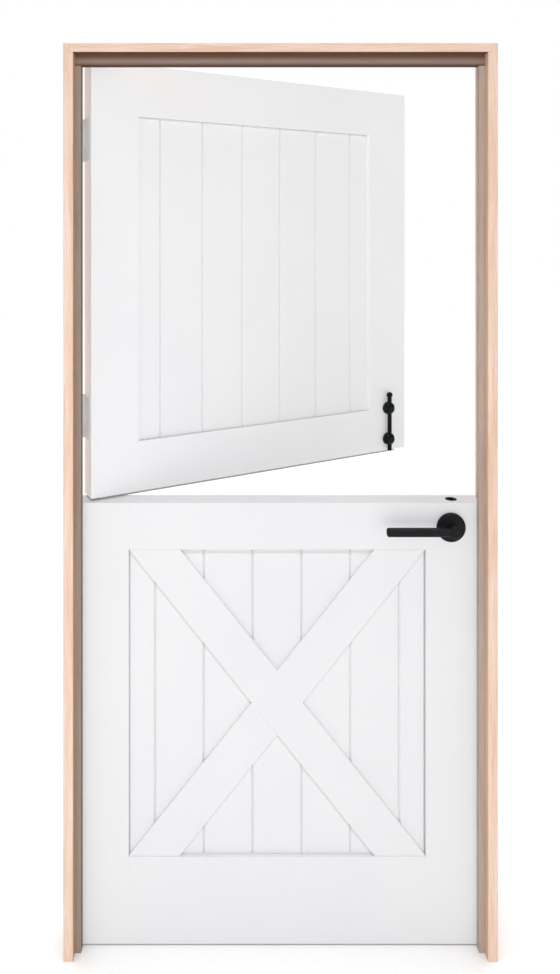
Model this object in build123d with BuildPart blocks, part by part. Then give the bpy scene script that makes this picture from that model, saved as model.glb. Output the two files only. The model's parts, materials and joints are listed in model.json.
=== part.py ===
from build123d import *
import os

# A dutch stable door in its frame: a cross-braced lower leaf with a lever latch, and a boarded upper
# leaf with a face bolt, each on its own pair of butt hinges. The upper leaf rests part open.
# Millimetres and degrees. X runs along the door, Y away from the viewer and Z up. The origin is on the
# floor, midway between the jambs, in the plane of the closed leaves' near faces.

os.makedirs("parts", exist_ok=True)

overrun = 2.0

# Frame
frame_width = 975.0
frame_height = 2060.0
jamb_thickness = 22.0
head_thickness = 20.0
front_reveal = 40.0
head_housing = 8.0
side_stop_thickness = 14.0
head_stop_thickness = 26.0
stop_width = 18.0
stop_clearance = 1.0

# Leaves
leaf_thickness = 54.0
side_gap = 3.0
top_gap = 6.0
floor_gap = 3.0
leaf_gap = 6.0
lower_leaf_top = 1015.0
rest_angle = 28.0
hinge_stile_width = 116.0
lock_stile_width = 127.0
upper_top_rail = 122.0
upper_bottom_rail = 119.0
lower_top_rail = 107.0
lower_bottom_rail = 200.0
panel_recess = 9.0
tenon_thickness = 18.0
tenon_setback = 20.0
tenon_web = 3.0
joint_clearance = 0.2

# Tongued and grooved boards
inner_board_count = 5
outer_board_width = 59.5
board_chamfer = 3.5
board_gap = 0.3
tongue_thickness = 12.0
tongue_reach = 8.0
groove_depth = 9.0

# Cross braces of the lower leaf
brace_run = 117.0
brace_setback = 2.0

# Butt hinges
hinge_height = 100.0
hinge_end_distance = 180.0
plate_thickness = 2.5
plate_width = 35.0
plate_clearance = 0.1
knuckle_radius = 6.5
knuckle_count = 3
knuckle_clearance = 0.3
pin_standoff = 7.0
pin_radius = 3.0
pin_clearance = 0.2

# Countersunk screw holes in the metal plates
screw_hole_radius = 1.9
countersink_radius = 3.7
countersink_angle = 82.0
hinge_hole_pitch = 36.0
hinge_hole_stagger = 6.0
lock_hole_pitch = 34.0

# Face bolt of the upper leaf and its socket in the lower one
bolt_inset = 62.0
bolt_travel = 14.0
bolt_radius = 6.0
bolt_standoff = 9.0
bolt_foot_lift = 1.0
bolt_length = 157.0
bolt_knob_radius = 8.3
bolt_end_chamfer = 1.0
guide_radius = 17.5
guide_wall = 2.5
guide_shoulder = 12.0
guide_clearance = 0.4
lower_guide_lift = 33.0
guide_spacing = 87.0
drive_pin_radius = 3.5
drive_pin_fit = 0.05
shoot_tail = 12.0
slot_clearance = 0.6
socket_flange_radius = 13.5
socket_flange_thickness = 2.0
socket_radius = 10.0
socket_bore_radius = 7.0
socket_depth = 25.0
socket_floor = 2.0

# Seal strip under the upper leaf
seal_thickness = 6.0
seal_front_inset = 3.0
seal_groove_depth = 5.0
seal_hinge_end_distance = 22.0
seal_lock_inset = 37.0
seal_clearance = 1.0

# Lever latch of the lower leaf
lever_drop = 55.0
backset = 70.0
lever_length = 153.0
lever_height = 18.0
lever_thickness = 12.0
lever_reach = 40.0
lever_hub_radius = 13.5
lever_neck_radius = 10.0
lever_end_radius = 5.0
lever_edge_chamfer = 3.0
lever_socket_depth = 28.0
rose_radius = 33.0
rose_thickness = 9.0
rose_edge_chamfer = 3.0
rose_clearance = 0.4
rose_rebate = 5.0
spindle_width = 8.0
spindle_clearance = 0.1
spindle_hole_radius = 9.5
case_height = 50.0
case_thickness = 16.0
case_wall = 1.5
case_tail = 24.0
case_clearance = 0.1
follower_radius = 9.0
follower_clearance = 0.2
finger_width = 5.0
finger_radius = 17.0
finger_thickness = 9.0
spring_heel_inset = 19.0
spring_toe_inset = 11.0
spring_strip = 0.8
spring_width = 7.0
spring_bend_radius = 2.5
spring_clearance = 0.1
latch_throw = 11.5
latch_height = 18.0
latch_thickness = 11.0
latch_bevel = 7.0
latch_head_length = 34.0
latch_clearance = 0.6
latch_tail_thickness = 4.0
latch_tail_width = 8.0
latch_tail_gap = 0.5
latch_lug_gap = 1.0
latch_lug_width = 4.0
faceplate_width = 22.0
faceplate_height = 84.0
strike_width = 26.0
strike_height = 84.0
strike_pocket = 10.0

# Limits worked out from the sizes above
jamb_outer = frame_width / 2
jamb_inner = jamb_outer - jamb_thickness
head_underside = frame_height - head_thickness
jamb_depth_limits = (-front_reveal, leaf_thickness)
stop_back = -stop_clearance
stop_depth_limits = (stop_back - stop_width, stop_back)
side_stop_top = head_underside - head_stop_thickness

leaf_right = jamb_inner - side_gap
leaf_left = -leaf_right
leaf_middle = leaf_thickness / 2
leaf_depth_limits = (0, leaf_thickness)
panel_left = leaf_left + hinge_stile_width
panel_right = leaf_right - lock_stile_width

upper_leaf_bottom = lower_leaf_top + leaf_gap
upper_leaf_top = head_underside - top_gap
upper_rails = (
    (upper_leaf_bottom, upper_leaf_bottom + upper_bottom_rail),
    (upper_leaf_top - upper_top_rail, upper_leaf_top),
)
lower_rails = (
    (floor_gap, floor_gap + lower_bottom_rail),
    (lower_leaf_top - lower_top_rail, lower_leaf_top),
)

board_thickness = leaf_thickness - 2 * panel_recess
tongue_limits = (leaf_middle - tongue_thickness / 2, leaf_middle + tongue_thickness / 2)
groove_limits = (tongue_limits[0] - joint_clearance, tongue_limits[1] + joint_clearance)
tenon_length = lock_stile_width - backset - case_tail - tenon_web
tenon_limits = (leaf_middle - tenon_thickness / 2, leaf_middle + tenon_thickness / 2)
mortise_limits = (tenon_limits[0] - joint_clearance, tenon_limits[1] + joint_clearance)

pin_x = -(jamb_inner + leaf_right) / 2
pin_y = leaf_thickness + pin_standoff
pin_axis = Axis((pin_x, pin_y, 0), (0, 0, 1))
plate_limits = (leaf_thickness - plate_width, pin_y - knuckle_radius - knuckle_clearance)
plate_middle = leaf_thickness - plate_width / 2
upper_hinge_heights = (upper_leaf_bottom + hinge_end_distance, upper_leaf_top - hinge_end_distance)
lower_hinge_heights = (floor_gap + hinge_end_distance, lower_leaf_top - hinge_end_distance)
hinge_heights = lower_hinge_heights + upper_hinge_heights

bolt_x = leaf_right - bolt_inset
bolt_y = -bolt_standoff
bolt_foot = upper_leaf_bottom + bolt_foot_lift
guide_heights = (
    upper_leaf_bottom + lower_guide_lift,
    upper_leaf_bottom + lower_guide_lift + guide_spacing,
)
drive_pin_z = guide_heights[1] + bolt_travel / 2

lever_x = leaf_right - backset
lever_z = lower_leaf_top - lever_drop
lever_root = rose_thickness - rose_rebate
case_limits = (lever_x - case_tail, leaf_right - plate_thickness)


def block(x_limits, y_limits, z_limits, mode=Mode.ADD):
    """A block between pairs of limits, in the part that is being built."""
    limits = (x_limits, y_limits, z_limits)
    with Locations(tuple(sum(pair) / 2 for pair in limits)):
        Box(*(abs(pair[1] - pair[0]) for pair in limits), mode=mode)


def about(middle, size):
    """The limits of a size that is centred on a place."""
    return (middle - size / 2, middle + size / 2)


def finish(piece, name, opening=0):
    """Turns a piece with its leaf about the hinge pins, labels it and writes it."""
    placed = piece.rotate(pin_axis, opening)
    placed.label = name
    export_step(placed, f"parts/{name}.step")


# Screw holes, and the shallow housings that plates lie in


def plate_holes(places):
    """Countersunk holes in a metal plate, one at each plane."""
    with Locations(*places):
        CounterSinkHole(
            radius=screw_hole_radius,
            counter_sink_radius=countersink_radius,
            depth=plate_thickness + overrun,
            counter_sink_angle=countersink_angle,
        )


def hinge_hole_places(face, outward, height):
    """Three staggered places on a hinge flap."""
    return [
        Plane(
            origin=(face, plate_middle + side * hinge_hole_stagger, height + step * hinge_hole_pitch),
            z_dir=(outward, 0, 0),
        )
        for step, side in ((-1, 1), (0, -1), (1, 1))
    ]


def lock_hole_places(face, outward):
    """Two places on the latch's faceplate or on its strike."""
    return [
        Plane(origin=(face, leaf_middle, lever_z + step * lock_hole_pitch), z_dir=(outward, 0, 0))
        for step in (-1, 1)
    ]


def plate_recess(face, into, y_limits, z_limits):
    """The shallow housing that a plate lies flush in."""
    block(
        (face, face + into * plate_thickness),
        (y_limits[0] - plate_clearance, y_limits[1] + plate_clearance),
        (z_limits[0] - plate_clearance, z_limits[1] + plate_clearance),
        Mode.SUBTRACT,
    )


def hinge_recesses(face, into, heights):
    for height in heights:
        plate_recess(face, into, (plate_limits[0], leaf_thickness), about(height, hinge_height))


# Frame: two jambs, a head let into them, and the stops that the leaves close against

strike_hole_depth = about(leaf_middle, latch_thickness + 2 * latch_clearance)
strike_hole_height = about(lever_z, latch_height + 2 * latch_clearance)


def blank_jamb(side):
    """A jamb with the rebate that takes one end of the head."""
    with BuildPart() as jamb:
        block((side * jamb_inner, side * jamb_outer), jamb_depth_limits, (0, frame_height))
        block(
            (side * jamb_inner, side * (jamb_inner + head_housing)),
            (jamb_depth_limits[0] - overrun, jamb_depth_limits[1] + overrun),
            (head_underside, frame_height + overrun),
            Mode.SUBTRACT,
        )
    return jamb.part


with BuildPart() as hinge_jamb:
    add(blank_jamb(-1))
    hinge_recesses(-jamb_inner, -1, hinge_heights)
finish(hinge_jamb.part, "hinge_jamb")

with BuildPart() as strike_jamb:
    add(blank_jamb(1))
    plate_recess(jamb_inner, 1, about(leaf_middle, strike_width), about(lever_z, strike_height))
    block(
        (jamb_inner, jamb_inner + plate_thickness + strike_pocket),
        strike_hole_depth,
        strike_hole_height,
        Mode.SUBTRACT,
    )
finish(strike_jamb.part, "strike_jamb")

with BuildPart() as head_jamb:
    head_end = jamb_inner + head_housing
    block((-head_end, head_end), jamb_depth_limits, (head_underside, frame_height))
finish(head_jamb.part, "head_jamb")

for name, side in (("hinge_stop", -1), ("strike_stop", 1)):
    with BuildPart() as side_stop:
        block(
            (side * jamb_inner, side * (jamb_inner - side_stop_thickness)),
            stop_depth_limits,
            (0, side_stop_top),
        )
    finish(side_stop.part, name)

with BuildPart() as head_stop:
    block((-jamb_inner, jamb_inner), stop_depth_limits, (side_stop_top, head_underside))
finish(head_stop.part, "head_stop")

with BuildPart() as strike_plate:
    block(
        (jamb_inner, jamb_inner + plate_thickness),
        about(leaf_middle, strike_width),
        about(lever_z, strike_height),
    )
    block(
        (jamb_inner - overrun, jamb_inner + plate_thickness + overrun),
        strike_hole_depth,
        strike_hole_height,
        Mode.SUBTRACT,
    )
    plate_holes(lock_hole_places(jamb_inner, -1))
finish(strike_plate.part, "strike_plate")

# Butt hinges: a flap on the jamb and a flap on the leaf, with every other knuckle, and a pin


def hinge_flap(face, into, height, own_knuckles):
    flap_limits = (face, face + into * plate_thickness)
    pitch = hinge_height / knuckle_count
    with BuildPart() as flap:
        block(flap_limits, plate_limits, about(height, hinge_height))
        for index in own_knuckles:
            middle = height + (index - (knuckle_count - 1) / 2) * pitch
            length = pitch - knuckle_clearance
            block(flap_limits, (plate_limits[0], pin_y), about(middle, length))
            with Locations((pin_x, pin_y, middle)):
                Cylinder(knuckle_radius, length)
        with Locations((pin_x, pin_y, height)):
            Cylinder(pin_radius + pin_clearance, hinge_height + overrun, mode=Mode.SUBTRACT)
        plate_holes(hinge_hole_places(face, -into, height))
    return flap.part


even_knuckles = range(0, knuckle_count, 2)
odd_knuckles = range(1, knuckle_count, 2)
hinge_names = ("lower_leaf_bottom", "lower_leaf_top", "upper_leaf_bottom", "upper_leaf_top")
hinge_openings = (0, 0, rest_angle, rest_angle)

for name, height, opening in zip(hinge_names, hinge_heights, hinge_openings):
    finish(hinge_flap(-jamb_inner, -1, height, even_knuckles), f"{name}_jamb_flap")
    finish(hinge_flap(leaf_left, 1, height, odd_knuckles), f"{name}_hinge_flap", opening)

with BuildPart() as hinge_pins:
    for height in hinge_heights:
        with Locations((pin_x, pin_y, height)):
            Cylinder(pin_radius, hinge_height)
finish(hinge_pins.part, "hinge_pins")

# Leaf timbers: stiles that run through, rails tenoned between them, and boards tongued into both


def blank_stile(outer_edge, panel_edge, rails):
    """A stile with its board groove and rail mortises."""
    into = 1 if outer_edge > panel_edge else -1
    (bottom, panel_bottom), (panel_top, top) = rails
    with BuildPart() as stile:
        block((panel_edge, outer_edge), leaf_depth_limits, (bottom, top))
        block(
            (panel_edge - into * overrun, panel_edge + into * groove_depth),
            groove_limits,
            (panel_bottom - groove_depth, panel_top + groove_depth),
            Mode.SUBTRACT,
        )
        for low, high in rails:
            block(
                (panel_edge - into * overrun, panel_edge + into * (tenon_length + joint_clearance)),
                mortise_limits,
                (low + tenon_setback - joint_clearance, high - tenon_setback + joint_clearance),
                Mode.SUBTRACT,
            )
    return stile.part


def blank_rail(panel_edge, far_edge):
    """A rail with its two tenons and the groove along its panel edge."""
    into = 1 if far_edge > panel_edge else -1
    with BuildPart() as rail:
        block((panel_left, panel_right), leaf_depth_limits, (panel_edge, far_edge))
        block(
            (panel_left - tenon_length, panel_right + tenon_length),
            tenon_limits,
            (panel_edge + into * tenon_setback, far_edge - into * tenon_setback),
        )
        block(
            (panel_left - overrun, panel_right + overrun),
            groove_limits,
            (panel_edge - into * overrun, panel_edge + into * groove_depth),
            Mode.SUBTRACT,
        )
    return rail.part


def board(left, right, bottom, top, first):
    """A board between two joint lines: tongued all round, but grooved to the left after the first one."""
    body_limits = (bottom + board_gap, top - board_gap)
    tongue_left = left - tongue_reach if first else left + tongue_reach
    with BuildPart() as timber:
        with BuildSketch(Plane.XY.offset(body_limits[0])) as section:
            with Locations(((left + right) / 2, leaf_middle)):
                Rectangle(right - left - board_gap, board_thickness)
            chamfer(section.vertices(), board_chamfer)
        extrude(amount=body_limits[1] - body_limits[0])
        block((tongue_left, right + tongue_reach), tongue_limits, (bottom - tongue_reach, top + tongue_reach))
        if not first:
            block(
                (left - overrun, left + groove_depth),
                groove_limits,
                (bottom - groove_depth, top + groove_depth),
                Mode.SUBTRACT,
            )
    return timber.part


def leaf_boards(leaf, rails, opening):
    panel_bottom, panel_top = rails[0][1], rails[1][0]
    pitch = (panel_right - panel_left - 2 * outer_board_width) / inner_board_count
    inner_left = panel_left + outer_board_width
    lines = [panel_left, *(inner_left + pitch * n for n in range(inner_board_count + 1)), panel_right]
    for number, (left, right) in enumerate(zip(lines, lines[1:]), start=1):
        finish(board(left, right, panel_bottom, panel_top, number == 1), f"{leaf}_board_{number}", opening)


# Upper leaf

seal_depth_limits = (seal_front_inset, seal_front_inset + seal_thickness)
seal_x_limits = (leaf_left + seal_hinge_end_distance, leaf_right - seal_lock_inset)
seal_groove_top = upper_leaf_bottom + seal_groove_depth


def seal_groove():
    """The groove for the seal strip, in a timber at the bottom of the upper leaf."""
    block(seal_x_limits, seal_depth_limits, (upper_leaf_bottom - overrun, seal_groove_top), Mode.SUBTRACT)


with BuildPart() as upper_hinge_stile:
    add(blank_stile(leaf_left, panel_left, upper_rails))
    hinge_recesses(leaf_left, 1, upper_hinge_heights)
    seal_groove()
finish(upper_hinge_stile.part, "upper_hinge_stile", rest_angle)

shoot_top = drive_pin_z + shoot_tail
slot_width = 2 * (drive_pin_radius + slot_clearance)


def drive_slot(depth_limits):
    """The slot that the bolt's drive pin runs in, behind the upper guide."""
    block(
        about(bolt_x, slot_width),
        depth_limits,
        about(drive_pin_z - bolt_travel / 2, bolt_travel + slot_width),
        Mode.SUBTRACT,
    )


with BuildPart() as upper_lock_stile:
    add(blank_stile(leaf_right, panel_right, upper_rails))
    seal_groove()
    bore_top = shoot_top + slot_clearance
    with Locations((bolt_x, leaf_middle, (upper_leaf_bottom + bore_top) / 2)):
        Cylinder(bolt_radius + guide_clearance, bore_top - upper_leaf_bottom, mode=Mode.SUBTRACT)
    drive_slot((0, leaf_middle))
finish(upper_lock_stile.part, "upper_lock_stile", rest_angle)

with BuildPart() as upper_bottom_rail_timber:
    add(blank_rail(upper_rails[0][1], upper_rails[0][0]))
    seal_groove()
finish(upper_bottom_rail_timber.part, "upper_bottom_rail", rest_angle)
finish(blank_rail(*upper_rails[1]), "upper_top_rail", rest_angle)
leaf_boards("upper", upper_rails, rest_angle)

with BuildPart() as meeting_seal:
    block(seal_x_limits, seal_depth_limits, (lower_leaf_top + seal_clearance, seal_groove_top))
finish(meeting_seal.part, "meeting_seal", rest_angle)

# Face bolt: a knobbed rod in two domed guides, pinned through a hidden slot to a shoot inside the stile


def blank_guide(height):
    """A round domed guide with an upright bore for the rod."""
    with BuildPart() as guide:
        with BuildSketch(Plane.XZ):
            with Locations((bolt_x, height)):
                Circle(guide_radius)
        extrude(amount=bolt_standoff + bolt_radius + guide_clearance + guide_wall)
        fillet(guide.faces().sort_by(Axis.Y)[0].edges(), guide_shoulder)
        with Locations((bolt_x, bolt_y, height)):
            Cylinder(bolt_radius + guide_clearance, 2 * guide_radius + overrun, mode=Mode.SUBTRACT)
    return guide.part


with BuildPart() as upper_bolt_guide:
    add(blank_guide(guide_heights[1]))
    drive_slot((bolt_y, 0))
finish(blank_guide(guide_heights[0]), "lower_bolt_guide", rest_angle)
finish(upper_bolt_guide.part, "upper_bolt_guide", rest_angle)

with BuildPart() as bolt_rod:
    knob_z = bolt_foot + bolt_length
    with Locations((bolt_x, bolt_y, (bolt_foot + knob_z) / 2)):
        Cylinder(bolt_radius, knob_z - bolt_foot)
    chamfer(bolt_rod.faces().sort_by(Axis.Z)[0].edges(), bolt_end_chamfer)
    with Locations((bolt_x, bolt_y, knob_z)):
        Sphere(bolt_knob_radius)
    with Locations(Plane(origin=(bolt_x, bolt_y, drive_pin_z), z_dir=(0, -1, 0))):
        Hole(drive_pin_radius + drive_pin_fit, depth=bolt_standoff)
finish(bolt_rod.part, "bolt_rod", rest_angle)

with BuildPart() as bolt_drive_pin:
    with BuildSketch(Plane.XZ.offset(-leaf_middle)):
        with Locations((bolt_x, drive_pin_z)):
            Circle(drive_pin_radius)
    extrude(amount=leaf_middle + bolt_standoff)
finish(bolt_drive_pin.part, "bolt_drive_pin", rest_angle)

with BuildPart() as bolt_shoot:
    with Locations((bolt_x, leaf_middle, (bolt_foot + shoot_top) / 2)):
        Cylinder(bolt_radius, shoot_top - bolt_foot)
    chamfer(bolt_shoot.faces().sort_by(Axis.Z)[0].edges(), bolt_end_chamfer)
    with Locations(Plane(origin=(bolt_x, leaf_middle, drive_pin_z), z_dir=(0, 1, 0))):
        Hole(drive_pin_radius + drive_pin_fit, depth=leaf_middle)
finish(bolt_shoot.part, "bolt_shoot", rest_angle)

# Lower leaf

with BuildPart() as lower_hinge_stile:
    add(blank_stile(leaf_left, panel_left, lower_rails))
    hinge_recesses(leaf_left, 1, lower_hinge_heights)
finish(lower_hinge_stile.part, "lower_hinge_stile")

with BuildPart() as lower_lock_stile:
    add(blank_stile(leaf_right, panel_right, lower_rails))
    plate_recess(leaf_right, -1, about(leaf_middle, faceplate_width), about(lever_z, faceplate_height))
    block(
        (case_limits[0] - case_clearance, leaf_right),
        about(leaf_middle, case_thickness + 2 * case_clearance),
        about(lever_z, case_height + 2 * case_clearance),
        Mode.SUBTRACT,
    )
    with Locations(Plane(origin=(lever_x, 0, lever_z), z_dir=(0, -1, 0))):
        Hole(spindle_hole_radius, depth=leaf_thickness)
    with Locations((bolt_x, leaf_middle, lower_leaf_top)):
        CounterBoreHole(
            radius=socket_radius + joint_clearance,
            counter_bore_radius=socket_flange_radius + joint_clearance,
            counter_bore_depth=socket_flange_thickness,
            depth=socket_depth,
        )
finish(lower_lock_stile.part, "lower_lock_stile")

finish(blank_rail(lower_rails[0][1], lower_rails[0][0]), "lower_bottom_rail")
finish(blank_rail(*lower_rails[1]), "lower_top_rail")
leaf_boards("lower", lower_rails, 0)

with BuildPart() as bolt_socket:
    with Locations((bolt_x, leaf_middle, lower_leaf_top - socket_flange_thickness / 2)):
        Cylinder(socket_flange_radius, socket_flange_thickness)
    with Locations((bolt_x, leaf_middle, lower_leaf_top - socket_depth / 2)):
        Cylinder(socket_radius, socket_depth)
    with Locations((bolt_x, leaf_middle, lower_leaf_top)):
        Hole(socket_bore_radius, depth=socket_depth - socket_floor)
finish(bolt_socket.part, "bolt_socket")

# Cross braces, laid on the boards and halved where they cross

brace_thickness = panel_recess - brace_setback
brace_bottom, brace_top = lower_rails[0][1], lower_rails[1][0]


def brace_outline(start, end, run):
    """The slanted outline of a brace, from a top corner of the panel to the opposite bottom corner."""
    with BuildSketch() as outline:
        with BuildLine():
            Polyline(
                (start, brace_top),
                (start + run, brace_top),
                (end, brace_bottom),
                (end - run, brace_bottom),
                close=True,
            )
        make_face()
    return outline.sketch


falling_outline = brace_outline(panel_left, panel_right, brace_run)
rising_outline = brace_outline(panel_right, panel_left, -brace_run)
brace_back = Plane.XZ.offset(-panel_recess)
brace_half = Plane.XZ.offset(brace_thickness / 2 - panel_recess)
braces = (
    ("falling_brace", falling_outline, rising_outline, brace_back),
    ("rising_brace", rising_outline, falling_outline, brace_half),
)
for name, own_outline, other_outline, halving_plane in braces:
    with BuildPart() as brace:
        with BuildSketch(brace_back):
            add(own_outline)
        extrude(amount=brace_thickness)
        with BuildSketch(halving_plane):
            add(other_outline)
        extrude(amount=brace_thickness / 2, mode=Mode.SUBTRACT)
    finish(brace.part, name)

# Mortise latch: a case behind a faceplate, a latch bolt, and a sprung follower on the spindle that draws it

with BuildPart() as latch_case:
    block(case_limits, about(leaf_middle, case_thickness), about(lever_z, case_height))
    block(
        (case_limits[0] + case_wall, case_limits[1] + overrun),
        about(leaf_middle, case_thickness - 2 * case_wall),
        about(lever_z, case_height - 2 * case_wall),
        Mode.SUBTRACT,
    )
    with Locations(Plane(origin=(lever_x, 0, lever_z), z_dir=(0, -1, 0))):
        Hole(follower_radius + follower_clearance, depth=leaf_thickness)
finish(latch_case.part, "latch_case")

with BuildPart() as latch_faceplate:
    block(
        (leaf_right - plate_thickness, leaf_right),
        about(leaf_middle, faceplate_width),
        about(lever_z, faceplate_height),
    )
    block(
        (leaf_right - plate_thickness - overrun, leaf_right + overrun),
        strike_hole_depth,
        strike_hole_height,
        Mode.SUBTRACT,
    )
    plate_holes(lock_hole_places(leaf_right, 1))
finish(latch_faceplate.part, "latch_faceplate")

tail_low = lever_z + finger_radius + latch_tail_gap
tail_high = tail_low + latch_tail_thickness
lug_right = lever_x - finger_width / 2 - latch_lug_gap
lug_left = lug_right - latch_lug_width
latch_tip = leaf_right + latch_throw
latch_heel = latch_tip - latch_head_length
latch_back = leaf_middle + latch_thickness / 2
latch_front = leaf_middle - latch_thickness / 2

with BuildPart() as latch_bolt:
    with BuildSketch(Plane.XY.offset(lever_z - latch_height / 2)):
        with BuildLine():
            Polyline(
                (latch_heel, latch_front),
                (leaf_right, latch_front),
                (latch_tip, latch_front + latch_bevel),
                (latch_tip, latch_back),
                (latch_heel, latch_back),
                close=True,
            )
        make_face()
    extrude(amount=latch_height)
    tail_depth = about(leaf_middle, latch_tail_width)
    block((latch_heel, latch_heel + latch_lug_width), tail_depth, (lever_z, tail_high))
    block((lug_left, latch_heel + latch_lug_width), tail_depth, (tail_low, tail_high))
    block((lug_left, lug_right), tail_depth, (lever_z + follower_radius + latch_tail_gap, tail_high))
finish(latch_bolt.part, "latch_bolt")

spindle_hole = spindle_width + 2 * spindle_clearance

with BuildPart() as latch_follower:
    with BuildSketch(Plane.XZ.offset(-(leaf_middle + case_thickness / 2))):
        with Locations((lever_x, lever_z)):
            Circle(follower_radius)
            Rectangle(spindle_hole, spindle_hole, mode=Mode.SUBTRACT)
    extrude(amount=case_thickness)
    hub_core = spindle_hole / 2 + case_wall
    finger_depth = about(leaf_middle, finger_thickness)
    block(about(lever_x, finger_width), finger_depth, (lever_z + hub_core, lever_z + finger_radius))
    block((lever_x - finger_radius, lever_x - hub_core), finger_depth, about(lever_z, finger_width))
finish(latch_follower.part, "latch_follower")

with BuildPart() as latch_spring:
    spring_seat = spring_strip / 2 + spring_clearance
    spring_low = lever_z - case_height / 2 + case_wall + spring_seat
    spring_high = lever_z - finger_width / 2 - spring_seat
    with BuildSketch(Plane.XZ.offset(-leaf_middle)):
        with BuildLine():
            FilletPolyline(
                (lever_x - spring_toe_inset, spring_low),
                (lever_x - spring_heel_inset, spring_low),
                (lever_x - spring_toe_inset, spring_high),
                radius=spring_bend_radius,
            )
        trace(line_width=spring_strip)
    extrude(amount=spring_width / 2, both=True)
finish(latch_spring.part, "latch_spring")

with BuildPart() as spindle:
    spindle_reach = lever_root + lever_socket_depth - joint_clearance
    block(
        about(lever_x, spindle_width),
        (-spindle_reach, leaf_thickness + spindle_reach),
        about(lever_z, spindle_width),
    )
finish(spindle.part, "spindle")

# Lever furniture: a round rose and a straight lever on each face


def mirrored(piece):
    """The same piece on the far face of the leaf."""
    with BuildPart() as far_piece:
        mirror(piece, about=Plane.XZ.offset(-leaf_middle))
    return far_piece.part


with BuildPart() as front_rose:
    with BuildSketch(Plane.XZ):
        with Locations((lever_x, lever_z)):
            Circle(rose_radius)
    extrude(amount=rose_thickness)
    chamfer(front_rose.faces().sort_by(Axis.Y)[0].edges(), rose_edge_chamfer)
    with Locations(Plane(origin=(lever_x, -rose_thickness, lever_z), z_dir=(0, -1, 0))):
        Hole(lever_neck_radius + rose_clearance, depth=rose_thickness)
finish(front_rose.part, "front_rose")
finish(mirrored(front_rose.part), "rear_rose")

with BuildPart() as front_lever:
    with BuildSketch(Plane.XZ.offset(lever_reach - lever_thickness)) as bar:
        with Locations((lever_x - lever_length / 2, lever_z)):
            Rectangle(lever_length, lever_height)
        fillet(bar.vertices().group_by(Axis.X)[0], lever_end_radius)
        with Locations((lever_x, lever_z)):
            Circle(lever_hub_radius)
    extrude(amount=lever_thickness)
    chamfer(front_lever.faces().sort_by(Axis.Y)[0].edges(), lever_edge_chamfer)
    with BuildSketch(Plane.XZ.offset(lever_root)):
        with Locations((lever_x, lever_z)):
            Circle(lever_neck_radius)
    extrude(amount=lever_reach - lever_thickness - lever_root)
    block(
        about(lever_x, spindle_hole),
        (-lever_root, -lever_root - lever_socket_depth),
        about(lever_z, spindle_hole),
        Mode.SUBTRACT,
    )
finish(front_lever.part, "front_lever")
finish(mirrored(front_lever.part), "rear_lever")
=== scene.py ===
import json
from math import cos, pi, radians, sin, tau

import bmesh
import bpy
from mathutils import Matrix, Vector


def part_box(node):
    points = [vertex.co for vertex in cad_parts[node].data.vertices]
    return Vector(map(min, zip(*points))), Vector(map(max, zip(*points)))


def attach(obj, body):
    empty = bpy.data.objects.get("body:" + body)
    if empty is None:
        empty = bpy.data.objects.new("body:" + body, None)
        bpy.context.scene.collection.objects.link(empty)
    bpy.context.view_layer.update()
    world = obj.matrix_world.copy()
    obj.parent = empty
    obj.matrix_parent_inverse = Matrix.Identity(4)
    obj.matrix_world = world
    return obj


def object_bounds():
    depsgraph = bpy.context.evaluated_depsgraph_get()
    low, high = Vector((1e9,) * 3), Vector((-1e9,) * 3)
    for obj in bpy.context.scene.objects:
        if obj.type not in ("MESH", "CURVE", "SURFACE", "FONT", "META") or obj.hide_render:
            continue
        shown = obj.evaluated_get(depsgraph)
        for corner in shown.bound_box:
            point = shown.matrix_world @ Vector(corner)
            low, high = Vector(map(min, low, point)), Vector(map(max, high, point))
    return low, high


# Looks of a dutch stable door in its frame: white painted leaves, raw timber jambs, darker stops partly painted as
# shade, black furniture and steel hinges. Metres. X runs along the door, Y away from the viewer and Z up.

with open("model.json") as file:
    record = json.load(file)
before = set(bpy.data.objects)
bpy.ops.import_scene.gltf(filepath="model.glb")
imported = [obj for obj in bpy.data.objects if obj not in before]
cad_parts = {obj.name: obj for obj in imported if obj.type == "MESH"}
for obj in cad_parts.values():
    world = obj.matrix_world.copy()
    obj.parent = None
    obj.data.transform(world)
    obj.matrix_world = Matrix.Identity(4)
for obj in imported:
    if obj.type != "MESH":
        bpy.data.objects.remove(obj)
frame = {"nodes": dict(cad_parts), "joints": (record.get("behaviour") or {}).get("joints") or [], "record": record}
cad_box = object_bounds()
nodes = frame["nodes"]
slot_of = {part["node"]: part["material_slot"] for part in frame["record"]["subparts"]}
joints = {joint["name"]: joint for joint in frame["joints"]}

# The photograph's view: a level camera, with its axis off the middle of the picture
picture_width = 560
picture_height = 974
axis_column = 241.6
axis_row = 239.3
focal_pixels = 751.0
film_height_mm = 36.0
eye = Vector((-0.0873, -1.7233, 1.620))

# The upper leaf rests open by as much as its joint closes, about the hinge pins
rest_angle = -radians(joints["upper_leaf_swing"]["range_deg"][0])
pin_low, pin_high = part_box("hinge_pins")
pin_axis = Vector(((pin_low.x + pin_high.x) / 2, (pin_low.y + pin_high.y) / 2, 0))
shut = Matrix.Identity(4)
ajar = Matrix.Translation(pin_axis) @ Matrix.Rotation(rest_angle, 4, "Z") @ Matrix.Translation(-pin_axis)

# Screws, in the holes that the plates have
plate_width = 0.035
hinge_hole_pitch = 0.036
hinge_hole_stagger = 0.006
lock_hole_pitch = 0.034
countersunk_rings = ((0.0017, -0.0021), (0.0035, -0.00015))
head_sides = 24
recess_reach_share = 0.6
recess_width_share = 0.16
recess_taper_share = 0.55
recess_depth = 0.0008


# Materials

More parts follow.
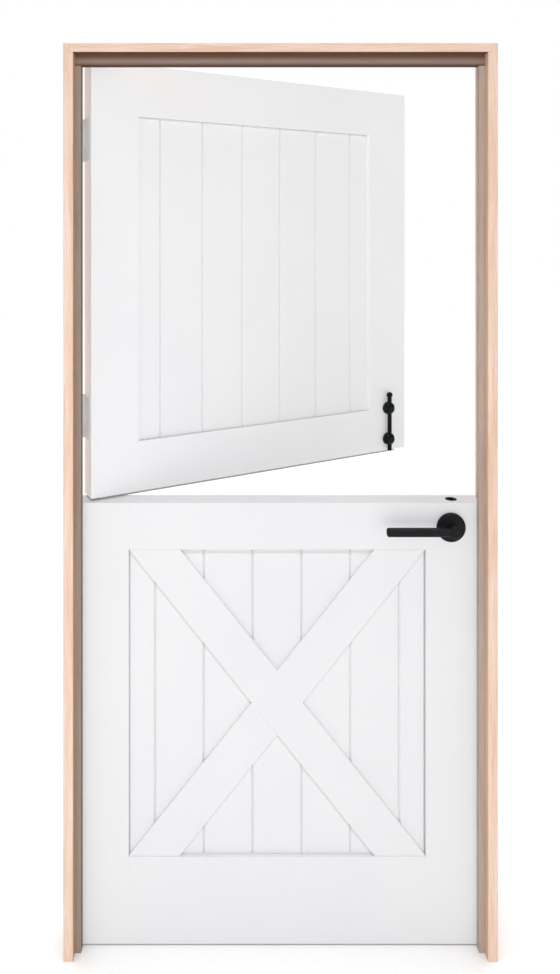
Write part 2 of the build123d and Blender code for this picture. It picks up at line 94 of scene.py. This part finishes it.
upright = (0, 0, 1)
lengthways = (1, 0, 0)
shaded_paint = (0.775, 0.775, 0.785)
bright_paint = (0.80, 0.80, 0.805)
paint_shine = 0.35
timber_shine = 0.25
pink_timber = (0.90, 0.685, 0.585)
tan_timber = (0.83, 0.62, 0.475)
pale_streak = (0.74, 0.49, 0.345)
# Tones of the stops, darker than the jamb timber, partly their own colour and partly painted shade: the hinge and
# head stops are painted darker, as in shade, and the strike stop lighter, as if lit from the hinge side.
stop_tone_and_shade = {
    "hinge_stop": (0.35, 0.283, 0.236),
    "strike_stop": (0.51, 0.417, 0.356),
    "head_stop": (0.30, 0.226, 0.186),
}
warm_shares = (1.0, 0.94, 0.90)
streak_shares = (0.80, 0.76, 0.74)
ring_lean = radians(3)
ring_size = (0.022, 0.022, 0.022)
brace_run = 0.117
downward = (0, 0, -1)
# Painted shade on the frame: the faces that look into the doorway and the undersides of the head are painted
# darker, as far back as the stops, where shade falls. The strike jamb's is painted lighter than the hinge jamb's,
# as if lit from the hinge side, and the hinge stop's gives a painted shadow line beside the leaf.
painted_inner_shade = {
    "hinge_jamb": ((1, 0, 0), (0.64, 0.42, 0.285)),
    "strike_jamb": ((-1, 0, 0), (0.82, 0.563, 0.394)),
    "head_jamb": (downward, (0.16, 0.065, 0.037)),
    "head_stop": (downward, (0.05, 0.02, 0.012)),
    "hinge_stop": ((1, 0, 0), (0.20, 0.16, 0.135)),
}
# Painted shade: the head stop's face is painted darker in bands along its bottom and top edges, as shade under the
# head and over the leaf.
painted_edge_shade = {"head_stop": ((0.001, 0.007), (0.005, 0.015), (0.13, 0.06, 0.035))}
stop_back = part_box("hinge_stop")[1].y
inner_shade_fade = 0.002
inner_shade_streak_shares = (0.8, 0.8, 0.8)
pore_shares = (0.55, 0.55, 0.55)
pale_seal = (0.50, 0.49, 0.46)
dusty_seal = (0.40, 0.39, 0.36)
seal_roughness = 0.8
weld_reach = 0.00001
flat_angle = radians(0.5)
sharp_angle = radians(30)
edge_segments = 3
flat_face_weight = 80


def new_material(name):
    material = bpy.data.materials.new(name)
    material.use_nodes = True
    tree = material.node_tree
    return material, tree, tree.nodes["Principled BSDF"]


def add(tree, kind, inputs, **settings):
    """A node with its settings, and each input linked to a socket or set to a value."""
    node = tree.nodes.new(kind)
    for key, value in settings.items():
        setattr(node, key, value)
    for key, value in inputs.items():
        if isinstance(value, bpy.types.NodeSocket):
            tree.links.new(value, node.inputs[key])
        else:
            node.inputs[key].default_value = value
    return node


def streaks(tree, grain, across, along, detail=3.0, distortion=0.0):
    """Noise drawn out along the grain, with features of these two lengths."""
    turn = Vector(upright).rotation_difference(Vector(grain)).to_euler()
    place = add(tree, "ShaderNodeTexCoord", {}).outputs["Object"]
    size = (across, across, along)
    place = add(tree, "ShaderNodeMapping", {"Vector": place, "Rotation": turn, "Scale": size},
                vector_type="TEXTURE").outputs["Vector"]
    noise = add(tree, "ShaderNodeTexNoise",
                {"Vector": place, "Scale": 1.0, "Detail": detail, "Distortion": distortion})
    return noise.outputs["Fac"]


def growth_rings(tree, grain):
    """Rings about an axis that leans a little from the grain, so that they cut a face in long arches."""
    lean = Matrix.Rotation(ring_lean, 3, "X") @ Matrix.Rotation(-ring_lean, 3, "Y")
    turn = (lean @ Vector(upright).rotation_difference(Vector(grain)).to_matrix()).to_euler()
    place = add(tree, "ShaderNodeTexCoord", {}).outputs["Object"]
    place = add(tree, "ShaderNodeMapping", {"Vector": place, "Rotation": turn, "Scale": ring_size},
                vector_type="TEXTURE").outputs["Vector"]
    wave = add(tree, "ShaderNodeTexWave",
               {"Vector": place, "Scale": 1.0, "Distortion": 5.0, "Detail": 3.0, "Detail Scale": 0.7},
               wave_type="RINGS", rings_direction="Z")
    return wave.outputs["Fac"]


def spread(tree, factor, low, high, from_low=0.3, from_high=0.7):
    """A noise value stretched to a range."""
    inputs = {"Value": factor, "From Min": from_low, "From Max": from_high, "To Min": low, "To Max": high}
    return add(tree, "ShaderNodeMapRange", inputs).outputs["Result"]


def blend(tree, factor, first, second):
    """A colour between two others, each a colour or a socket."""
    node = tree.nodes.new("ShaderNodeMix")
    node.data_type = "RGBA"
    sockets = [node.inputs["Factor"]] + [s for s in node.inputs if s.type == "RGBA"]
    for socket, value in zip(sockets, (factor, first, second)):
        if isinstance(value, bpy.types.NodeSocket):
            tree.links.new(value, socket)
        else:
            socket.default_value = (*value, 1.0) if socket.type == "RGBA" else value
    return next(s for s in node.outputs if s.type == "RGBA")


def facing(tree, direction):
    """1 where a surface faces a direction, 0 elsewhere."""
    normal = add(tree, "ShaderNodeNewGeometry", {}).outputs["Normal"]
    dot = tree.nodes.new("ShaderNodeVectorMath")
    dot.operation = "DOT_PRODUCT"
    tree.links.new(normal, dot.inputs[0])
    dot.inputs[1].default_value = direction
    return spread(tree, dot.outputs["Value"], low=0.0, high=1.0, from_low=0.4, from_high=0.6)


def place_along(tree, axis):
    """A point's place along X, Y or Z."""
    place = add(tree, "ShaderNodeTexCoord", {}).outputs["Object"]
    return add(tree, "ShaderNodeSeparateXYZ", {"Vector": place}).outputs[axis]


def nearer(tree, depth):
    """1 on the viewer's side of a depth, 0 beyond it."""
    place = place_along(tree, "Y")
    return spread(tree, place, low=1.0, high=0.0, from_low=depth - inner_shade_fade, from_high=depth)


def bump(tree, shader, height, distance):
    """Fine relief of this depth."""
    node = add(tree, "ShaderNodeBump", {"Height": height, "Distance": distance, "Strength": 1.0})
    tree.links.new(node.outputs["Normal"], shader.inputs["Normal"])


def shares_of(colour, shares):
    """A colour with each of its parts scaled."""
    return tuple(part * share for part, share in zip(colour, shares))


def painted(name, grain):
    """White satin paint over timber: faint brush strokes along the grain and a slightly uneven tone."""
    material, tree, shader = new_material(name)
    strokes = streaks(tree, grain, across=0.0022, along=0.16, detail=4.0)
    tone = streaks(tree, upright, across=0.3, along=0.5)
    colour = blend(tree, spread(tree, tone, low=0.0, high=1.0), shaded_paint, bright_paint)
    tree.links.new(colour, shader.inputs["Base Color"])
    tree.links.new(spread(tree, strokes, low=0.40, high=0.52), shader.inputs["Roughness"])
    shader.inputs["Specular IOR Level"].default_value = paint_shine
    bump(tree, shader, strokes, distance=0.00012)
    return material


def timber(name, grain, light, warm, dark):
    """Raw planed timber: tone that drifts along the grain, growth rings, streaks and fine pores.

    Where it has painted shade, the face that looks into the doorway is painted darker, as shade, as far back as
    the stops.
    """
    material, tree, shader = new_material(name)
    drift = streaks(tree, grain, across=0.03, along=0.16)
    figure = streaks(tree, grain, across=0.012, along=0.24, detail=5.0, distortion=0.9)
    pores = streaks(tree, grain, across=0.0009, along=0.03, detail=2.0)
    warmth = spread(tree, drift, low=0.0, high=1.0, from_low=0.36, from_high=0.64)
    streak = spread(tree, figure, low=0.0, high=0.8, from_low=0.42, from_high=0.72)
    ring_share = spread(tree, growth_rings(tree, grain), low=0.0, high=0.35, from_low=0.55, from_high=1.0)
    colour = blend(tree, warmth, light, warm)
    colour = blend(tree, streak, colour, dark)
    colour = blend(tree, ring_share, colour, dark)
    # Painted shade in bands along the head stop's bottom and top edges.
    if name in painted_edge_shade:
        low, high = (corner.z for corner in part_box(name))
        lower_shade_band, upper_shade_band, edge_shade_tone = painted_edge_shade[name]
        height = place_along(tree, "Z")
        lower = spread(tree, height, 1.0, 0.0, from_low=low + lower_shade_band[0], from_high=low + lower_shade_band[1])
        upper = spread(tree, height, 0.0, 1.0, from_low=high - upper_shade_band[1], from_high=high - upper_shade_band[0])
        colour = blend(tree, lower, colour, edge_shade_tone)
        colour = blend(tree, upper, colour, edge_shade_tone)
    # Painted shade on the faces that look into the doorway, as far back as the stops.
    if name in painted_inner_shade:
        inward, inner_shade_tone = painted_inner_shade[name]
        inner_figure = spread(tree, figure, low=0.0, high=1.0)
        inner = blend(tree, inner_figure, inner_shade_tone, shares_of(inner_shade_tone, inner_shade_streak_shares))
        reach = {0: facing(tree, inward), 1: nearer(tree, stop_back)}
        inner_shade_mask = add(tree, "ShaderNodeMath", reach, operation="MULTIPLY").outputs["Value"]
        colour = blend(tree, inner_shade_mask, colour, inner)
    pore_share = spread(tree, pores, low=0.0, high=0.22, from_low=0.5, from_high=0.75)
    deep = blend(tree, pore_share, colour, shares_of(dark, pore_shares))
    tree.links.new(deep, shader.inputs["Base Color"])
    tree.links.new(spread(tree, pores, low=0.58, high=0.72), shader.inputs["Roughness"])
    shader.inputs["Specular IOR Level"].default_value = timber_shine
    bump(tree, shader, pores, distance=0.00015)
    return material


def coated(name, light, dark, roughness, shine):
    """Dark powder coat with a fine orange peel."""
    material, tree, shader = new_material(name)
    peel = streaks(tree, upright, across=0.0012, along=0.0012, detail=2.0)
    tone = streaks(tree, upright, across=0.02, along=0.03)
    colour = blend(tree, spread(tree, tone, low=0.0, high=1.0), dark, light)
    uneven = spread(tree, peel, low=roughness - 0.05, high=roughness + 0.05)
    tree.links.new(colour, shader.inputs["Base Color"])
    tree.links.new(uneven, shader.inputs["Roughness"])
    shader.inputs["Specular IOR Level"].default_value = shine
    bump(tree, shader, peel, distance=0.00006)
    return material


def steel(name, light, dark, grain, roughness):
    """Brushed steel, with fine lines along the brushing."""
    material, tree, shader = new_material(name)
    lines = streaks(tree, grain, across=0.0004, along=0.03, detail=2.0)
    tone = streaks(tree, grain, across=0.012, along=0.05)
    colour = blend(tree, spread(tree, tone, low=0.0, high=1.0), dark, light)
    uneven = spread(tree, lines, low=roughness - 0.08, high=roughness + 0.08)
    tree.links.new(colour, shader.inputs["Base Color"])
    tree.links.new(uneven, shader.inputs["Roughness"])
    shader.inputs["Metallic"].default_value = 1.0
    bump(tree, shader, lines, distance=0.00003)
    return material


def rubber(name):
    """Grey seal strip, slightly dusty."""
    material, tree, shader = new_material(name)
    dust = streaks(tree, lengthways, across=0.004, along=0.03)
    colour = blend(tree, spread(tree, dust, low=0.0, high=1.0), dusty_seal, pale_seal)
    tree.links.new(colour, shader.inputs["Base Color"])
    shader.inputs["Roughness"].default_value = seal_roughness
    bump(tree, shader, dust, distance=0.0001)
    return material


def grain_of(name):
    """Which way the timber of a node runs, at rest."""
    low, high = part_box(name)
    if "brace" in name:
        fall = -1 if name.startswith("falling") else 1
        return Vector((high.x - low.x - brace_run, 0, fall * (high.z - low.z))).normalized()
    if "rail" in name or name.startswith("head"):
        level = Vector(lengthways)
        return ajar.to_3x3() @ level if name.startswith("upper") else level
    return Vector(upright)


bolt_black = (0.0020, 0.0060, 0.0030)
bolt_deep_black = (0.001, 0.003, 0.0015)
lever_charcoal = (0.0120, 0.0130, 0.0150)
lever_deep_charcoal = (0.0085, 0.0095, 0.011)
latch_light, latch_dark = (0.60, 0.60, 0.61), (0.48, 0.48, 0.49)
hinge_light, hinge_dark = (0.78, 0.78, 0.78), (0.70, 0.70, 0.71)
shared = {
    "bolt_metal": coated("black_bolt", bolt_black, bolt_deep_black, roughness=0.24, shine=0.14),
    "lever_metal": coated("charcoal_lever", lever_charcoal, lever_deep_charcoal, roughness=0.42, shine=0.10),
    "latch_metal": steel("latch_steel", latch_light, latch_dark, upright, roughness=0.34),
    "hinge_metal": steel("hinge_steel", hinge_light, hinge_dark, upright, roughness=0.6),
    "seal": rubber("grey_seal"),
}
soft_edges = {
    "painted_timber": 0.0004,
    "painted_boards": 0.0005,
    "frame_timber": 0.0006,
    "stop_timber": 0.0008,
    "bolt_metal": 0.0004,
    "lever_metal": 0.0009,
    "latch_metal": 0.0003,
    "hinge_metal": 0.0003,
    "seal": 0.0006,
}


def finish_of(name):
    """The material of a CAD node, from its slot and the way its timber runs."""
    slot = slot_of[name]
    if slot in shared:
        return shared[slot]
    if slot == "frame_timber":
        return timber(name, grain_of(name), pink_timber, tan_timber, pale_streak)
    if slot == "stop_timber":
        # A stop's tone holds painted shade as well as its own colour.
        tone = stop_tone_and_shade[name]
        warm, dark = shares_of(tone, warm_shares), shares_of(tone, streak_shares)
        return timber(name, grain_of(name), tone, warm, dark)
    return painted(name, grain_of(name))


def soften(piece, width):
    """Small rounded edges: the mesh is joined up, flat faces are made whole, then edges are bevelled."""
    piece.data.shade_smooth()
    join = piece.modifiers.new("join", "WELD")
    join.merge_threshold = weld_reach
    whole = piece.modifiers.new("whole_faces", "DECIMATE")
    whole.decimate_type = "DISSOLVE"
    whole.angle_limit = flat_angle
    edges = piece.modifiers.new("edges", "BEVEL")
    edges.width = width
    edges.segments = edge_segments
    edges.limit_method = "ANGLE"
    edges.angle_limit = sharp_angle
    piece.modifiers.new("shading", "WEIGHTED_NORMAL").weight = flat_face_weight


for name, piece in nodes.items():
    piece.data.materials.clear()
    piece.data.materials.append(finish_of(name))
    soften(piece, soft_edges[slot_of[name]])


# Screws

def ring(mesh, radius, height, place):
    """A round row of corners."""
    turns = [tau * n / head_sides for n in range(head_sides)]
    corners = [Vector((radius * cos(turn), radius * sin(turn), height)) for turn in turns]
    return [mesh.verts.new(place @ corner) for corner in corners]


def cross(mesh, reach, half_width, height, place):
    """The twelve corners of a cross."""
    arm = [(reach, -half_width), (reach, half_width), (half_width, half_width)]
    quarter_turns = [Matrix.Rotation(tau * n / 4, 4, "Z") for n in range(4)]
    corners = [place @ turn @ Vector((*corner, height)) for turn in quarter_turns for corner in arm]
    return [mesh.verts.new(corner) for corner in corners]


def loop_edges(mesh, corners):
    """Edges that join a row of corners into a closed loop."""
    return [mesh.edges.new((first, second)) for first, second in zip(corners, corners[1:] + corners[:1])]


def wall(mesh, low, high):
    """Faces between two closed rows of as many corners."""
    for n in range(len(low)):
        mesh.faces.new((low[n - 1], low[n], high[n], high[n - 1]))


def screw(mesh, rings, place):
    """A head turned from its rings, with a tapered cross recess in its face."""
    rows = [ring(mesh, radius, height, place) for radius, height in rings]
    for low, high in zip(rows, rows[1:]):
        wall(mesh, low, high)
    mesh.faces.new(rows[0][::-1])
    radius, height = rings[-1]
    reach, half_width = radius * recess_reach_share, radius * recess_width_share
    mouth = cross(mesh, reach, half_width, height, place)
    end_reach, end_half_width = reach * recess_taper_share, half_width * recess_taper_share
    end = cross(mesh, end_reach, end_half_width, height - recess_depth, place)
    brim = rows[-1]
    rim = [mesh.edges.get((first, second)) for first, second in zip(brim, brim[1:] + brim[:1])]
    bmesh.ops.triangle_fill(mesh, edges=rim + loop_edges(mesh, mouth), use_beauty=True)
    wall(mesh, mouth, end)
    mesh.faces.new(end)


def screws(name, body, slot, rings, places):
    """One piece of all the screws at these places, which rides on a body."""
    mesh = bmesh.new()
    for place in places:
        screw(mesh, rings, place)
    bmesh.ops.recalc_face_normals(mesh, faces=mesh.faces)
    data = bpy.data.meshes.new(name)
    mesh.to_mesh(data)
    mesh.free()
    piece = bpy.data.objects.new(name, data)
    bpy.context.scene.collection.objects.link(piece)
    data.materials.append(shared[slot])
    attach(piece, body)


def looking(direction, place):
    """The place of a screw head whose face looks in a direction."""
    turn = Vector(upright).rotation_difference(Vector(direction)).to_matrix().to_4x4()
    return Matrix.Translation(place) @ turn


def hinge_places(hinge, face, outward, pose):
    """The three holes of a hinge flap on a face of the jamb or the leaf."""
    low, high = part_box(f"{hinge}_jamb_flap")
    middle_y, middle_z = low.y + plate_width / 2, (low.z + high.z) / 2
    holes = [
        (face, middle_y + side * hinge_hole_stagger, middle_z + step * hinge_hole_pitch)
        for step, side in ((-1, 1), (0, -1), (1, 1))
    ]
    return [pose @ looking((outward, 0, 0), hole) for hole in holes]


def lock_places(plate, face, outward):
    """The two holes of the strike or the faceplate."""
    middle = sum(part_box(plate), Vector()) / 2
    holes = [(face, middle.y, middle.z + step * lock_hole_pitch) for step in (-1, 1)]
    return [looking((outward, 0, 0), hole) for hole in holes]


jamb_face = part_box("hinge_stop")[0].x
leaf_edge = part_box("lower_hinge_stile")[0].x
lower_hinges = ("lower_leaf_bottom", "lower_leaf_top")
upper_hinges = ("upper_leaf_bottom", "upper_leaf_top")
all_hinges = lower_hinges + upper_hinges
jamb_screw_places = [place for hinge in all_hinges for place in hinge_places(hinge, jamb_face, 1, shut)]
lower_screw_places = [place for hinge in lower_hinges for place in hinge_places(hinge, leaf_edge, -1, shut)]
upper_screw_places = [place for hinge in upper_hinges for place in hinge_places(hinge, leaf_edge, -1, ajar)]
strike_places = lock_places("strike_plate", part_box("strike_plate")[0].x, -1)
faceplate_places = lock_places("latch_faceplate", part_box("latch_faceplate")[1].x, 1)

screws("jamb_hinge_screws", "frame", "hinge_metal", countersunk_rings, jamb_screw_places)
screws("lower_hinge_screws", "lower_leaf", "hinge_metal", countersunk_rings, lower_screw_places)
screws("upper_hinge_screws", "upper_leaf", "hinge_metal", countersunk_rings, upper_screw_places)
screws("strike_screws", "frame", "latch_metal", countersunk_rings, strike_places)
screws("faceplate_screws", "lower_leaf", "latch_metal", countersunk_rings, faceplate_places)


# Floor, light and camera

floor_half_size = 14.0
floor_tone_size = 0.8
grey_floor = (0.955, 0.955, 0.955)
pale_floor = (0.975, 0.975, 0.975)
floor_roughness = 0.9
floor_shine = 0.1
floor_data = bpy.data.meshes.new("floor")
corners = [(x, y, 0) for x, y in ((-1, -1), (1, -1), (1, 1), (-1, 1))]
floor_data.from_pydata([Vector(corner) * floor_half_size for corner in corners], [], [(0, 1, 2, 3)])
floor = bpy.data.objects.new("floor", floor_data)
bpy.context.scene.collection.objects.link(floor)
floor_material, floor_tree, floor_shader = new_material("pale_floor")
floor_drift = streaks(floor_tree, upright, across=floor_tone_size, along=floor_tone_size)
floor_colour = blend(floor_tree, spread(floor_tree, floor_drift, low=0.0, high=1.0), grey_floor, pale_floor)
floor_tree.links.new(floor_colour, floor_shader.inputs["Base Color"])
floor_shader.inputs["Roughness"].default_value = floor_roughness
floor_shader.inputs["Specular IOR Level"].default_value = floor_shine
floor_data.materials.append(floor_material)


def group(name, pieces):
    """A collection that only a light refers to."""
    collection = bpy.data.collections.new(name)
    for piece in pieces:
        collection.objects.link(piece)
    return collection


def hang(data, towards):
    """A light that shines on the middle of the part from a place beside it."""
    light = bpy.data.objects.new(data.name, data)
    light.location = sum(cad_box, Vector()) / 2 + Vector(towards)
    light.rotation_euler = Vector(towards).to_track_quat("Z", "Y").to_euler()
    bpy.context.scene.collection.objects.link(light)
    return light


def soft_sun(name, towards, angle, strength):
    """Even light: the strength is what a white face towards it gives back."""
    data = bpy.data.lights.new(name, "SUN")
    data.angle = radians(angle)
    data.energy = strength * pi
    return hang(data, towards)


def soft_box(name, towards, size, strength):
    """A square of light that fades with distance: the strength holds at the middle of the part."""
    data = bpy.data.lights.new(name, "AREA")
    data.size = size
    data.energy = strength * pi * pi * Vector(towards).length_squared
    return hang(data, towards)


part_pieces = [
    piece for piece in bpy.context.scene.objects
    if piece.type == "MESH" and piece is not floor
]
leaf_timber = [piece for name, piece in nodes.items() if slot_of[name].startswith("painted")]
upper_timber = [piece for piece in leaf_timber if piece.name.startswith("upper")]
upper_frame = [
    piece for name, piece in nodes.items()
    if name.startswith("upper") and "board" not in name and "jamb" not in name
]
key_blockers = group("key_blockers", leaf_timber)
cool_white = (0.95, 0.975, 1.0)

above = soft_sun("above", towards=(0.0, 0.9, 5.0), angle=15.0, strength=0.08)
above.light_linking.receiver_collection = group("lit_part", part_pieces)

# The key stands high, so that each edge of the lower leaf shades what is under it. The upper leaf stands open
# and has a lower key of its own. Only the timber of the leaves shades either.
key = soft_sun("key", towards=(0.6, -4.0, 5.8), angle=6.0, strength=0.42)
key.light_linking.receiver_collection = group("key_lit", [p for p in part_pieces if p not in upper_timber])
upper_key = soft_sun("upper_key", towards=(2.0, -4.0, 2.2), angle=6.0, strength=0.34)
upper_key.light_linking.receiver_collection = group("upper_key_lit", upper_timber)
for light in (key, upper_key):
    light.data.color = cool_white
    light.light_linking.blocker_collection = key_blockers

# Fill without shadows, from the front and, for the upper leaf's edge, from the hinge side
front = soft_box("front", towards=(-1.3, -2.6, 0.2), size=1.2, strength=0.13)
front.data.use_shadow = False
hinge_side = soft_sun("hinge_side", towards=(-4.4, -2.3, 0.2), angle=30.0, strength=0.30)
hinge_side.data.use_shadow = False
hinge_side.light_linking.receiver_collection = group("upper_frame", upper_frame)

floor_wash = soft_sun("floor_wash", towards=(0.0, 0.0, 5.0), angle=60.0, strength=0.80)
floor_wash.light_linking.receiver_collection = group("lit_floor", [floor])

# A white backdrop, which lights the part more weakly than it looks
white = (1.0, 1.0, 1.0, 1.0)
backdrop_strength = 1.0
fill_strength = 0.40
world = bpy.data.worlds.new("studio")
world.use_nodes = True
bpy.context.scene.world = world
backdrop = world.node_tree.nodes["Background"]
backdrop.inputs["Color"].default_value = white
backdrop.inputs["Strength"].default_value = backdrop_strength
fill = add(world.node_tree, "ShaderNodeBackground", {"Color": white, "Strength": fill_strength})
seen = add(world.node_tree, "ShaderNodeLightPath", {}).outputs["Is Camera Ray"]
sky = add(world.node_tree, "ShaderNodeMixShader", {"Fac": seen})
world.node_tree.links.new(fill.outputs["Background"], sky.inputs[1])
world.node_tree.links.new(backdrop.outputs["Background"], sky.inputs[2])
world.node_tree.links.new(sky.outputs["Shader"], world.node_tree.nodes["World Output"].inputs["Surface"])

bpy.context.scene.view_settings.view_transform = "Standard"

camera_data = bpy.data.cameras.new("camera")
camera_data.sensor_width = film_height_mm
camera_data.lens = focal_pixels * film_height_mm / picture_height
camera_data.shift_x = (picture_width / 2 - axis_column) / picture_height
camera_data.shift_y = (axis_row - picture_height / 2) / picture_height
camera = bpy.data.objects.new("camera", camera_data)
camera.location = eye
camera.rotation_euler = (radians(90), 0, 0)
bpy.context.scene.collection.objects.link(camera)
bpy.context.scene.camera = camera
